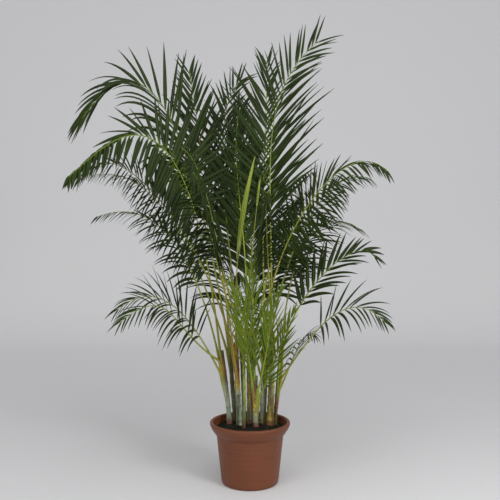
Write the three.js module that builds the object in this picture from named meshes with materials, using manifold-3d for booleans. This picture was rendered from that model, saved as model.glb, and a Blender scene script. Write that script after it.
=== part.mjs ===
// Potted areca palm: a clump of ringed canes with arching feather fronds, in a round nursery pot.
// Millimetres, +Z up. The origin is the middle of the pot's flat base. The front faces -Y.

import * as THREE from 'three';
import { mergeVertices } from 'three/addons/utils/BufferGeometryUtils.js';
import Module from 'manifold-3d';

const wasm = await Module();
wasm.setup();

// ---------------------------------------------------------------- driving dimensions

const GAP = 0.4; // left between pieces that touch
const SLIVER = 0.02; // edges shorter than this, left by joins, are closed up

// The pot is a tapered tub that swells out above its neck into a thick rounded rim.
const POT_HEIGHT = 235;
const POT_SEGMENTS = 32;
const RIM_RADIUS = 155;
const MOUTH_RADIUS = 141.5;
const NECK_HEIGHT = 183;
const LEDGE_HEIGHT = 208; // where the inside of the rim becomes upright
const FLARE_CURVE = 1.5;
const FLARE_STEPS = 5;
const NECK_RADIUS = 129;
const FOOT_RADIUS = 109.5;
const FOOT_ROUNDING = 8;
const WALL = 3;
const FLOOR = 4;
const DRAIN_HOLES = 8;
const DRAIN_HOLE_RADIUS = 7;
const DRAIN_CIRCLE_RADIUS = 72;

const SOIL_LEVEL = 212;
const SOIL_DOME = 5;
const ROOTING_DEPTH = 50;

// Canes: where each comes out of the soil, its top, and its radius at the soil and at the top.
const CANE_SIDES = 6;
const CANE_RINGS = 6;
const RING_SWELL = 1.08;
const CANES = {
  cane_01: { foot: [-80, 50], top: [-112, 40, 500], radii: [9, 8] },
  cane_02: { foot: [-40, 35], top: [-54, 10, 535], radii: [10, 8] },
  cane_03: { foot: [-24, -20], top: [-26, -26, 530], radii: [7, 6] },
  cane_04: { foot: [-2, 45], top: [-4, 40, 545], radii: [9, 8] },
  cane_05: { foot: [22, 5], top: [20, -12, 410], radii: [9, 9] },
  cane_06: { foot: [46, 50], top: [54, 50, 560], radii: [8, 7] },
  cane_07: { foot: [77, 30], top: [88, 18, 565], radii: [14, 9] },
  cane_08: { foot: [98, 44], top: [120, 46, 500], radii: [7, 7] },
  cane_09: { foot: [-58, 88], top: [-84, 96, 550], radii: [9, 8] },
  cane_10: { foot: [12, 98], top: [13, 120, 560], radii: [9, 8] },
  cane_11: { foot: [56, 90], top: [68, 126, 530], radii: [8, 7] },
  cane_12: { foot: [-22, 92], top: [-36, 112, 570], radii: [8, 8] },
};

// Fronds. Each leaves its cane "down" millimetres below the top, sets off along the vector "rise",
// bends towards the point "shoulder" and ends at the point "tip". "face" is the way that its upper
// side looks, "bare" the leafless part of its length, "leaf" the length of its longest leaflets,
// "pairs" the number of leaflet pairs and "droop", if stated, how far their ends hang.
const FRONDS = {
  frond_left_1: { cane: 'cane_09', down: 0, rise: [-100, -30, 560], shoulder: [-340, 30, 1870],
    tip: [-640, -20, 1400], face: [0.3, -0.6, 1], bare: 0.5, leaf: 330, pairs: 12, droop: 0.5 },
  frond_left_2: { cane: 'cane_01', down: 0, rise: [-120, -150, 1160], shoulder: [-510, -160, 1280],
    tip: [-635, -245, 1150], face: [0.2, -0.7, 1], bare: 0.5, leaf: 230, pairs: 12, droop: 0.7 },
  frond_left_3: { cane: 'cane_02', down: 50, rise: [-30, -30, 290], shoulder: [-470, -100, 1430],
    tip: [-630, -140, 1150], face: [0.2, -0.8, 1], bare: 0.4, leaf: 200, pairs: 12, droop: 0.7 },
  frond_left_4: { cane: 'cane_09', down: 60, rise: [-150, 60, 480], shoulder: [-430, 190, 1260],
    tip: [-665, 225, 1205], face: [0.2, -0.5, 1], bare: 0.45, leaf: 180, pairs: 10 },
  frond_left_5: { cane: 'cane_01', down: 50, rise: [-60, 50, 290], shoulder: [-330, 150, 1150],
    tip: [-640, 210, 1030], face: [0.3, -0.4, 1], bare: 0.4, leaf: 180, pairs: 10 },
  frond_left_6: { cane: 'cane_01', down: 90, rise: [-100, -30, 200], shoulder: [-330, -10, 810],
    tip: [-500, -60, 670], face: [0.2, -0.3, 1], bare: 0.3, leaf: 200, pairs: 7 },
  frond_left_7: { cane: 'cane_01', down: 40, rise: [-190, -100, 140], shoulder: [-290, -60, 780],
    tip: [-460, -200, 640], face: [0.1, -0.5, 1], bare: 0.3, leaf: 190, pairs: 7 },
  frond_top_1: { cane: 'cane_12', down: 0, rise: [-150, 20, 460], shoulder: [-220, 230, 1510],
    tip: [-260, 260, 1650], face: [0.3, -1, 0.3], bare: 0.45, leaf: 310, pairs: 8 },
  frond_top_2: { cane: 'cane_12', down: 50, rise: [-60, 30, 520], shoulder: [-170, 300, 1520],
    tip: [-40, 330, 1630], face: [-0.2, -1, 0.3], bare: 0.45, leaf: 300, pairs: 8 },
  frond_top_3: { cane: 'cane_07', down: 0, rise: [10, -30, 660], shoulder: [10, -30, 1470],
    tip: [255, -60, 1680], face: [-0.4, -1, 0.4], bare: 0.42, leaf: 290, pairs: 13 },
  frond_top_4: { cane: 'cane_11', down: 0, rise: [-40, 20, 490], shoulder: [80, 240, 1540],
    tip: [70, 260, 1690], face: [-0.1, -1, 0.2], bare: 0.45, leaf: 290, pairs: 8 },
  frond_top_5: { cane: 'cane_04', down: 0, rise: [10, 0, 420], shoulder: [-90, 60, 1260],
    tip: [-40, 60, 1450], face: [0.5, -1, 0.2], bare: 0.45, leaf: 280, pairs: 8 },
  frond_right_1: { cane: 'cane_06', down: 0, rise: [0, -50, 350], shoulder: [350, -80, 1360],
    tip: [505, -120, 1185], face: [-0.3, -0.7, 1], bare: 0.42, leaf: 190, pairs: 12, droop: 0.6 },
  frond_right_2: { cane: 'cane_11', down: 50, rise: [40, 30, 390], shoulder: [310, 180, 1260],
    tip: [500, 200, 1190], face: [-0.3, -0.6, 1], bare: 0.42, leaf: 190, pairs: 9, droop: 0.5 },
  frond_right_3: { cane: 'cane_08', down: 0, rise: [30, 100, 390], shoulder: [270, 200, 1090],
    tip: [470, 260, 980], face: [-0.2, -0.3, 1], bare: 0.42, leaf: 210, pairs: 7 },
  frond_right_4: { cane: 'cane_08', down: 60, rise: [-20, -10, 210], shoulder: [390, -10, 980],
    tip: [480, -20, 870], face: [-0.3, -0.5, 1], bare: 0.4, leaf: 190, pairs: 8 },
  frond_right_5: { cane: 'cane_08', down: 110, rise: [90, -60, 140], shoulder: [350, -80, 790],
    tip: [480, -190, 640], face: [-0.2, -0.3, 1], bare: 0.45, leaf: 200, pairs: 7 },
  frond_right_6: { cane: 'cane_08', down: 160, rise: [40, 60, 50], shoulder: [220, 200, 590],
    tip: [270, 260, 530], face: [-0.3, 0, 1], bare: 0.35, leaf: 180, pairs: 5 },
  frond_front_1: { cane: 'cane_02', down: 100, rise: [-50, -90, 390], shoulder: [-140, -280, 1200],
    tip: [-230, -330, 1240], face: [0.2, 0.2, 1], bare: 0.5, leaf: 230, pairs: 8, droop: 0.6 },
  frond_front_2: { cane: 'cane_04', down: 60, rise: [-140, 40, 300], shoulder: [-150, -330, 1130],
    tip: [-185, -400, 1150], face: [0.2, 0.3, 1], bare: 0.52, leaf: 180, pairs: 8, droop: 0.6 },
  frond_front_3: { cane: 'cane_07', down: 50, rise: [-10, -110, 310], shoulder: [40, -350, 1090],
    tip: [60, -430, 1085], face: [-0.2, 0.3, 1], bare: 0.52, leaf: 160, pairs: 8, droop: 0.6 },
  frond_back_1: { cane: 'cane_11', down: 90, rise: [50, 120, 350], shoulder: [70, 360, 1250],
    tip: [300, 430, 1240], face: [-0.2, -0.3, 1], bare: 0.45, leaf: 240, pairs: 8 },
  frond_back_2: { cane: 'cane_10', down: 0, rise: [0, 100, 440], shoulder: [-20, 460, 1270],
    tip: [-10, 480, 1350], face: [0, -1, 0.5], bare: 0.45, leaf: 270, pairs: 8 },
  frond_back_3: { cane: 'cane_09', down: 110, rise: [-20, 120, 360], shoulder: [-170, 450, 1140],
    tip: [-215, 480, 1160], face: [0.3, -0.4, 1], bare: 0.45, leaf: 220, pairs: 8 },
  frond_back_4: { cane: 'cane_10', down: 50, rise: [60, 100, 370], shoulder: [150, 330, 1160],
    tip: [280, 360, 1150], face: [-0.3, -0.4, 1], bare: 0.45, leaf: 250, pairs: 8 },
  frond_back_5: { cane: 'cane_10', down: 100, rise: [10, 160, 90], shoulder: [-40, 460, 910],
    tip: [-70, 520, 750], face: [0, -0.2, 1], bare: 0.35, leaf: 200, pairs: 7 },
  young_leaf_1: { cane: 'cane_05', down: 0, rise: [0, -10, 100], shoulder: [0, -50, 740],
    tip: [10, -60, 830], face: [0.2, -1, 0.3], bare: 0.2, leaf: 170, pairs: 7 },
  young_leaf_2: { cane: 'cane_05', down: 30, rise: [-10, -10, 100], shoulder: [-40, -70, 700],
    tip: [-70, -90, 760], face: [0.5, -1, 0.4], bare: 0.2, leaf: 150, pairs: 7 },
  young_leaf_3: { cane: 'cane_05', down: 50, rise: [30, -30, 80], shoulder: [80, -90, 690],
    tip: [110, -110, 740], face: [-0.5, -1, 0.4], bare: 0.2, leaf: 140, pairs: 7 },
  young_leaf_4: { cane: 'cane_05', down: 80, rise: [40, -10, 60], shoulder: [130, -80, 600],
    tip: [160, -110, 660], face: [-0.6, -1, 0.5], bare: 0.2, leaf: 130, pairs: 7 },
};
const PETIOLE_RADIUS = 4.5;
const RACHIS_TIP_RADIUS = 1;
const RACHIS_SIDES = 4;
const RACHIS_FLATNESS = 0.8; // its depth over its width
const PETIOLE_STEPS = 5;
const LAST_PAIR = 0.985; // the end pair's place along the frond
const HUG_OFFSET = 6.5; // a frond that leaves the very top of a cane stands this far off its axis

// Leaflets grow in pairs, lifted into a V, and their far ends droop.
const LEAFLET_SIDES = 3;
const LEAFLET_HALF_WIDTH = 10;
const LEAFLET_HALF_THICKNESS = 1.3;
const LEAFLET_LIFT = THREE.MathUtils.degToRad(24);
const LEAFLET_ANGLE_LOW = THREE.MathUtils.degToRad(62); // from the rachis, at the lowest pair
const LEAFLET_ANGLE_TIP = THREE.MathUtils.degToRad(22);
const LEAFLET_DROOP = 0.3; // of a level leaflet's length, unless its frond states its own "droop"
const UPPER_ROW_DROOP = 0.6; // of the lower row's, as the upper row of a tilted frond is straighter
const LOWEST_LEAFLET = 0.72; // of the longest leaflet's length
const TIP_SHORTENING = 0.6; // how much shorter the leaflets are at the frond's tip
const LEAFLET_PROFILE = [[0, 0], [1, 0.35], [0.75, 0.7], [0, 1]]; // [width, how far along]
const SHRINKS = [1, 0.8, 0.6, 0.4]; // lengths tried where a leaflet has little room

// Spears: folded leaves that stand up before they open.
const SPEARS = {
  spear_leaf_1: { cane: 'cane_02', rise: [-10, -20, 260], shoulder: [-40, -70, 1030],
    tip: [20, -120, 1240] },
  spear_leaf_2: { cane: 'cane_03', rise: [20, 0, 320], shoulder: [30, -30, 1110],
    tip: [40, -30, 1180] },
};
const SPEAR_SIDES = 5;
const SPEAR_PROFILE = [[0, 0], [0.4, 0], [0.6, 0.3], [1, 0.6], [0.7, 0.85], [0, 1]];
const SPEAR_HALF_WIDTH = 8;
const SPEAR_HALF_THICKNESS = 4;

// ---------------------------------------------------------------- materials

const material = (color, roughness) => new THREE.MeshStandardMaterial({ color, roughness, metalness: 0 });
const potPlastic = () => material(0x9a5f48, 0.55);
const soilBrown = () => material(0x1c1713, 0.95);
const caneGreen = () => material(0x8d9a5c, 0.6);
const frondGreen = () => material(0x2f4a1e, 0.45);
const youngGreen = () => material(0x7d9434, 0.5);
const spearGreen = () => material(0x9a9a48, 0.5);

// ---------------------------------------------------------------- solids

const vector = (numbers) => new THREE.Vector3(...numbers);

// The closed solid of a geometry, with its shared corners merged and its zero-area faces dropped.
function toSolid(geometry) {
  geometry.deleteAttribute('normal');
  geometry.deleteAttribute('uv');
  const merged = mergeVertices(geometry, 1e-3);
  const corners = [];
  for (let i = 0; i < merged.index.count; i += 3) {
    const [a, b, c] = [merged.index.getX(i), merged.index.getX(i + 1), merged.index.getX(i + 2)];
    if (a !== b && b !== c && c !== a) corners.push(a, b, c);
  }
  return new wasm.Manifold(new wasm.Mesh({
    numProp: 3,
    vertProperties: new Float32Array(merged.attributes.position.array),
    triVerts: new Uint32Array(corners),
  }));
}

function toMesh(name, solid, surface) {
  const cut = solid.simplify(SLIVER).getMesh();
  const geometry = new THREE.BufferGeometry();
  geometry.setAttribute('position', new THREE.BufferAttribute(cut.vertProperties, 3));
  geometry.setIndex(new THREE.BufferAttribute(cut.triVerts, 1));
  geometry.computeVertexNormals();
  const mesh = new THREE.Mesh(geometry, surface);
  mesh.name = name;
  return mesh;
}

// A turned shape of unit length and unit half width, bent along a curve. "profile" lists
// [fraction of the width, fraction of the length]; "side" is the way that its width lies.
function bend(profile, sides, curve, side, halfWidth, halfThickness) {
  const points = profile.map(([width, along]) => new THREE.Vector2(width, along));
  const geometry = new THREE.LatheGeometry(points, sides);
  const position = geometry.attributes.position;
  for (let i = 0; i < position.count; i += 1) {
    const along = position.getY(i);
    const tangent = curve.getTangentAt(along);
    const across = side.clone().addScaledVector(tangent, -side.dot(tangent)).normalize();
    const up = across.clone().cross(tangent);
    const point = curve.getPointAt(along);
    point.addScaledVector(across, position.getX(i) * halfWidth);
    point.addScaledVector(up, position.getZ(i) * halfThickness);
    position.setXYZ(i, point.x, point.y, point.z);
  }
  return toSolid(geometry);
}

// ---------------------------------------------------------------- pot and soil

// Radius of the outside of the wall at a height, below the rim.
function wallRadius(height) {
  return FOOT_RADIUS + ((NECK_RADIUS - FOOT_RADIUS) * height) / NECK_HEIGHT;
}

// Radius of the rim's swelling underside, from 0 at the neck to 1 at the widest.
function flareRadius(rise) {
  return NECK_RADIUS + (RIM_RADIUS - NECK_RADIUS) * (1 - (1 - rise) ** FLARE_CURVE);
}

function arc(centre, radius, fromDegrees, toDegrees, steps) {
  return Array.from({ length: steps + 1 }, (_, i) => {
    const angle = THREE.MathUtils.degToRad(fromDegrees + ((toDegrees - fromDegrees) * i) / steps);
    return new THREE.Vector2(centre.x + radius * Math.cos(angle), centre.y + radius * Math.sin(angle));
  });
}

function turned(points, segments) {
  const geometry = new THREE.LatheGeometry(points, segments);
  geometry.rotateX(Math.PI / 2);
  return toSolid(geometry);
}

function potSolid() {
  const at = (radius, height) => new THREE.Vector2(radius, height);
  const roll = (RIM_RADIUS - MOUTH_RADIUS) / 2;
  const rollCentre = at(MOUTH_RADIUS + roll, POT_HEIGHT - roll);
  const footCentre = at(FOOT_RADIUS - FOOT_ROUNDING, FOOT_ROUNDING);
  const outline = [
    at(0, 0),
    ...arc(footCentre, FOOT_ROUNDING, -90, 0, 3),
    at(NECK_RADIUS, NECK_HEIGHT),
  ];
  for (let step = 1; step < FLARE_STEPS; step += 1) {
    const rise = step / FLARE_STEPS;
    const height = THREE.MathUtils.lerp(NECK_HEIGHT, rollCentre.y, rise);
    outline.push(at(flareRadius(rise), height));
  }
  outline.push(
    ...arc(rollCentre, roll, 0, 180, 6),
    at(MOUTH_RADIUS, LEDGE_HEIGHT),
    at(NECK_RADIUS - WALL, NECK_HEIGHT),
    at(wallRadius(FLOOR) - WALL, FLOOR),
    at(0, FLOOR),
  );
  let pot = turned(outline, POT_SEGMENTS);
  for (let i = 0; i < DRAIN_HOLES; i += 1) {
    const angle = (2 * Math.PI * (i + 0.5)) / DRAIN_HOLES;
    const hole = new THREE.CylinderGeometry(DRAIN_HOLE_RADIUS, DRAIN_HOLE_RADIUS, 4 * FLOOR, 12);
    hole.rotateX(Math.PI / 2);
    hole.translate(DRAIN_CIRCLE_RADIUS * Math.cos(angle), DRAIN_CIRCLE_RADIUS * Math.sin(angle), 0);
    pot = pot.subtract(toSolid(hole));
  }
  return pot;
}

// The root ball fills the pot to just below the mouth, with a socket round each cane.
function soilSolid(sockets) {
  const at = (radius, height) => new THREE.Vector2(radius, height);
  const clearance = WALL + 2 * GAP;
  const outline = [
    at(0, FLOOR + GAP),
    at(wallRadius(FLOOR) - clearance, FLOOR + GAP),
    at(NECK_RADIUS - clearance, NECK_HEIGHT),
    at(MOUTH_RADIUS - clearance, SOIL_LEVEL - SOIL_DOME),
    at(MOUTH_RADIUS / 2, SOIL_LEVEL - SOIL_DOME / 4),
    at(0, SOIL_LEVEL),
  ];
  let soil = turned(outline, POT_SEGMENTS);
  for (const socket of sockets) soil = soil.subtract(socket);
  return soil;
}

// ---------------------------------------------------------------- canes

function caneAxis(plan) {
  const foot = vector([...plan.foot, SOIL_LEVEL - ROOTING_DEPTH]);
  return new THREE.LineCurve3(foot, vector(plan.top));
}

function caneRadius(plan, fraction) {
  return THREE.MathUtils.lerp(plan.radii[0], plan.radii[1], fraction);
}

// A cane swells a little at each ring, where an old frond fell.
function caneSolid(plan, extra) {
  const profile = [[0, 0]];
  for (let ring = 0; ring <= CANE_RINGS; ring += 1) {
    const along = ring / CANE_RINGS;
    const swell = ring % 2 === 1 ? RING_SWELL : 1;
    profile.push([caneRadius(plan, along) * swell + extra, along]);
  }
  profile.push([0, 1]);
  return bend(profile, CANE_SIDES, caneAxis(plan), new THREE.Vector3(1, 0, 0), 1, 1);
}

// ---------------------------------------------------------------- fronds

// A frond leaves the top of its cane beside the axis, or lower down from the cane's side.
function frondStart(plan) {
  const cane = CANES[plan.cane];
  const axis = caneAxis(cane);
  const outward = vector(plan.shoulder).sub(vector(cane.top)).setZ(0).normalize();
  if (plan.down === 0) {
    return vector(cane.top).addScaledVector(outward, HUG_OFFSET).add(new THREE.Vector3(0, 0, GAP));
  }
  const fraction = 1 - plan.down / axis.getLength();
  const reach = caneRadius(cane, fraction) * RING_SWELL + PETIOLE_RADIUS + 2 * GAP;
  return axis.getPointAt(fraction).addScaledVector(outward, reach);
}

function frondCurve(plan, start) {
  const rise = vector(plan.rise).add(start);
  return new THREE.CubicBezierCurve3(start, rise, vector(plan.shoulder), vector(plan.tip));
}

// The way that the blade lies across the frond: square to its upper side and to its length.
function bladeSide(plan, tangent) {
  return tangent.clone().cross(vector(plan.face)).normalize();
}

// How far along the frond a pair of leaflets sits.
function pairPlace(plan, pair) {
  return THREE.MathUtils.lerp(plan.bare, LAST_PAIR, pair / (plan.pairs - 1));
}

// The bare petiole and, with a ring at each pair of leaflets, the rachis.
function rachisSolid(plan, curve) {
  const rings = [];
  for (let step = 0; step < PETIOLE_STEPS; step += 1) rings.push((plan.bare * step) / PETIOLE_STEPS);
  for (let pair = 0; pair < plan.pairs; pair += 1) rings.push(pairPlace(plan, pair));
  const profile = [[0, 0]];
  for (const along of rings) {
    profile.push([THREE.MathUtils.lerp(PETIOLE_RADIUS, RACHIS_TIP_RADIUS, along), along]);
  }
  profile.push([0, 1]);
  const side = bladeSide(plan, curve.getTangentAt(0.5));
  return bend(profile, RACHIS_SIDES, curve, side, 1, RACHIS_FLATNESS);
}

// Leaflets are longest a third of the way up the blade and short at its tip.
function leafletLength(plan, upBlade) {
  const swell = Math.sin(Math.PI * Math.min(1, upBlade * 1.5));
  const fullness = LOWEST_LEAFLET + (1 - LOWEST_LEAFLET) * swell;
  return plan.leaf * fullness * (1 - TIP_SHORTENING * upBlade ** 2);
}

function leafletSolid(plan, curve, pair, hand, shrink) {
  const upBlade = pair / (plan.pairs - 1);
  const along = pairPlace(plan, pair);
  const tangent = curve.getTangentAt(along);
  const across = bladeSide(plan, tangent).multiplyScalar(hand);
  const up = vector(plan.face).addScaledVector(tangent, -vector(plan.face).dot(tangent)).normalize();
  const angle = THREE.MathUtils.lerp(LEAFLET_ANGLE_LOW, LEAFLET_ANGLE_TIP, upBlade);
  const outward = across.multiplyScalar(Math.cos(LEAFLET_LIFT)).addScaledVector(up, Math.sin(LEAFLET_LIFT));
  const aim = tangent.clone().multiplyScalar(Math.cos(angle)).addScaledVector(outward, Math.sin(angle));
  const length = leafletLength(plan, upBlade) * shrink;
  const share = aim.z > tangent.z ? UPPER_ROW_DROOP : 1;
  const droop = (plan.droop ?? LEAFLET_DROOP) * share * length * Math.hypot(aim.x, aim.y);
  const width = tangent.clone().addScaledVector(aim, -tangent.dot(aim)).normalize();
  const root = curve.getPointAt(along);
  const middle = root.clone().addScaledVector(aim, length / 2);
  const end = root.clone().addScaledVector(aim, length).add(new THREE.Vector3(0, 0, -droop));
  const line = new THREE.QuadraticBezierCurve3(root, middle, end);
  return bend(LEAFLET_PROFILE, LEAFLET_SIDES, line, width, LEAFLET_HALF_WIDTH, LEAFLET_HALF_THICKNESS);
}

// A spear is widest halfway up and pointed.
function spearSolid(curve) {
  const side = new THREE.Vector3(1, 0, 0);
  return bend(SPEAR_PROFILE, SPEAR_SIDES, curve, side, SPEAR_HALF_WIDTH, SPEAR_HALF_THICKNESS);
}

// ---------------------------------------------------------------- keeping pieces apart

const standing = []; // every solid in place so far, with the name of the piece it belongs to

function place(owner, solid) {
  standing.push({ owner, solid, box: solid.boundingBox() });
}

function boxesMeet(a, b) {
  return [0, 1, 2].every((axis) => a.min[axis] - GAP <= b.max[axis] && b.min[axis] - GAP <= a.max[axis]);
}

function isClear(owner, solid) {
  const box = solid.boundingBox();
  return standing.every((other) => other.owner === owner || !boxesMeet(box, other.box)
    || solid.minGap(other.solid, 2 * GAP) >= GAP);
}

// ---------------------------------------------------------------- the plant in its pot

const palm = new THREE.Group();
palm.name = 'potted_palm';

const pot = potSolid();
place('pot', pot);
palm.add(toMesh('pot', pot, potPlastic()));

const soil = soilSolid(Object.values(CANES).map((plan) => caneSolid(plan, GAP)));
place('potting_soil', soil);
palm.add(toMesh('potting_soil', soil, soilBrown()));

for (const [name, plan] of Object.entries(CANES)) {
  const cane = caneSolid(plan, 0);
  place(name, cane);
  palm.add(toMesh(name, cane, caneGreen()));
}

for (const [name, plan] of Object.entries(SPEARS)) {
  const start = vector(CANES[plan.cane].top).add(new THREE.Vector3(0, 0, GAP));
  const spear = spearSolid(frondCurve(plan, start));
  place(name, spear);
  palm.add(toMesh(name, spear, spearGreen()));
}

const frondPlans = Object.entries(FRONDS).map(([name, plan]) => {
  const curve = frondCurve(plan, frondStart(plan));
  const rachis = rachisSolid(plan, curve);
  place(name, rachis);
  return { name, plan, curve, pieces: [rachis] };
});

// Fronds share the room pair by pair. A leaflet that would touch another frond grows shorter, and
// one that still has no room is left off.
const MOST_PAIRS = Math.max(...Object.values(FRONDS).map((plan) => plan.pairs));
for (let pair = 0; pair < MOST_PAIRS; pair += 1) {
  for (const { name, plan, curve, pieces } of frondPlans) {
    if (pair >= plan.pairs) continue;
    for (const hand of [1, -1]) {
      const shrink = SHRINKS.find((size) => isClear(name, leafletSolid(plan, curve, pair, hand, size)));
      if (shrink) {
        const leaflet = leafletSolid(plan, curve, pair, hand, shrink);
        place(name, leaflet);
        pieces.push(leaflet);
      }
    }
  }
}

for (const { name, pieces } of frondPlans) {
  const surface = name.startsWith('young') ? youngGreen() : frondGreen();
  palm.add(toMesh(name, wasm.Manifold.union(pieces), surface));
}

export default palm;
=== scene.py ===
"""The look of a potted areca palm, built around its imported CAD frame.

Metres, +Z up. The origin is the middle of the pot's flat base and the front faces -Y.
"""

import math
import random

import bpy
import numpy as np
from mathutils import Matrix, Vector, noise


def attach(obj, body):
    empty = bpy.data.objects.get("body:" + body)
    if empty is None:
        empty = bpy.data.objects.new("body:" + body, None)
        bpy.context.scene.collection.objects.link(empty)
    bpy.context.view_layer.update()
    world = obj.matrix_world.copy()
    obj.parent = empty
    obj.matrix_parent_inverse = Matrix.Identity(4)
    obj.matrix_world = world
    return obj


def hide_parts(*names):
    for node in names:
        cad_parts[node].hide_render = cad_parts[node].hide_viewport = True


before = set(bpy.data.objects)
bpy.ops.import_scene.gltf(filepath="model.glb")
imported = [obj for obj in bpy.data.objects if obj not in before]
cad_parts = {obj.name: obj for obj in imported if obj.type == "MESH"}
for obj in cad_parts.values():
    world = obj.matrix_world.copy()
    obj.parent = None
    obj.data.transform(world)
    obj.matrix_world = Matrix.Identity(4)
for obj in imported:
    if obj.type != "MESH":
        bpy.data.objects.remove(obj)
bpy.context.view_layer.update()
BODY = "root"
MM = 0.001
DOWN = Vector((0, 0, -1))

# ---------------------------------------------------------------- driving dimensions, millimetres

POT_HEIGHT = 235
RIM_RADIUS = 155
MOUTH_RADIUS = 141.5
NECK_HEIGHT = 183
NECK_RADIUS = 129
LEDGE_HEIGHT = 208
FLARE_CURVE = 1.5
FOOT_RADIUS = 109.5
FOOT_ROUNDING = 8
WALL = 3
FLOOR = 4
DRAIN_HOLES = 8
DRAIN_HOLE_RADIUS = 7
DRAIN_CIRCLE_RADIUS = 72
SOIL_LEVEL = 212
SOIL_DOME = 5

# Canes: foot on the soil, top, radius at both, and what colours them from the soil upwards:
# (fraction of the height, colour, how speckled).
CANES = {
    "cane_01": dict(
        foot=(-80, 50), top=(-112, 40, 500), radii=(9.5, 8),
        zones=[(0, "rust", 0.5), (0.12, "wax", 0.1), (0.5, "wax", 0.3), (0.6, "moss_and_shade", 0.5),
               (0.8, "orange", 0.8), (1, "lime", 0.4)]),
    "cane_02": dict(
        foot=(-40, 35), top=(-54, 10, 535), radii=(11, 9),
        zones=[(0, "wax", 0.3), (0.4, "wax", 0.1), (0.48, "gold", 0.3), (0.6, "orange", 0.8),
               (0.75, "rust", 1), (0.9, "orange", 0.5), (1, "orange", 0.2)]),
    "cane_03": dict(
        foot=(-24, -20), top=(-26, -26, 530), radii=(6, 5),
        zones=[(0, "rust", 0.4), (0.15, "lime", 0), (1, "lime", 0)]),
    "cane_04": dict(
        foot=(-2, 45), top=(-4, 40, 545), radii=(9, 8),
        zones=[(0, "rust", 0.5), (0.1, "wax", 0.2), (0.35, "gold", 0.9), (0.6, "moss_and_shade", 0.5),
               (1, "lime", 0)]),
    "cane_05": dict(
        foot=(22, 5), top=(20, -12, 410), radii=(10, 10),
        zones=[(0, "rust", 0.6), (0.15, "wax", 0.3), (0.4, "gold", 0.6), (0.75, "rust", 1),
               (0.9, "moss_and_shade", 0.6), (1, "lime", 0.2)]),
    "cane_06": dict(
        foot=(46, 50), top=(54, 50, 560), radii=(8.5, 7),
        zones=[(0, "gold", 0.4), (0.1, "wax", 0.1), (0.45, "wax", 0.2), (0.55, "rust", 0.9),
               (0.7, "orange", 0.4), (1, "lime", 0.1)]),
    "cane_07": dict(
        foot=(77, 30), top=(88, 18, 565), radii=(14, 9.5),
        zones=[(0, "rust", 0.7), (0.08, "gold", 0.7), (0.16, "gold", 0.35), (0.5, "gold", 0.3),
               (0.53, "wax", 0.3), (0.75, "wax", 0.5), (0.85, "rust", 0.9), (1, "orange", 0.5)]),
    "cane_08": dict(
        foot=(98, 44), top=(120, 46, 500), radii=(7, 6),
        zones=[(0, "moss_and_shade", 0.3), (0.3, "rust", 0.6), (0.45, "lime", 0.1), (1, "lime", 0)]),
    # cane_09 to cane_12 stand behind the others and are coloured mostly dark moss green: painted shade
    # for canes in the shadow of the clump
    "cane_09": dict(
        foot=(-58, 88), top=(-84, 96, 550), radii=(9, 8),
        zones=[(0, "moss_and_shade", 0.4), (0.4, "moss_and_shade", 0.4), (0.6, "moss_and_shade", 0.5), (1, "lime", 0.3)]),
    "cane_10": dict(
        foot=(12, 98), top=(13, 120, 560), radii=(9, 8),
        zones=[(0, "moss_and_shade", 0.4), (0.5, "moss_and_shade", 0.6), (0.7, "moss_and_shade", 0.3), (1, "lime", 0.2)]),
    "cane_11": dict(
        foot=(56, 90), top=(68, 126, 530), radii=(8, 7),
        zones=[(0, "moss_and_shade", 0.4), (0.4, "moss_and_shade", 0.6), (0.7, "orange", 0.5), (1, "lime", 0.2)]),
    "cane_12": dict(
        foot=(-22, 92), top=(-36, 112, 570), radii=(8, 8),
        zones=[(0, "moss_and_shade", 0.4), (0.3, "moss_and_shade", 0.5), (0.7, "moss_and_shade", 0.4), (1, "lime", 0.2)]),
}

# What the fronds that hang in the middle of the clump share, at the back and at the front.
HANGING_BACK = dict(droop=3.0, knee=0.5, lift=0, spread=(38, 20), width=7.5)
HANGING_FRONT = dict(droop=3.0, knee=0.6, lift=0)

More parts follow.
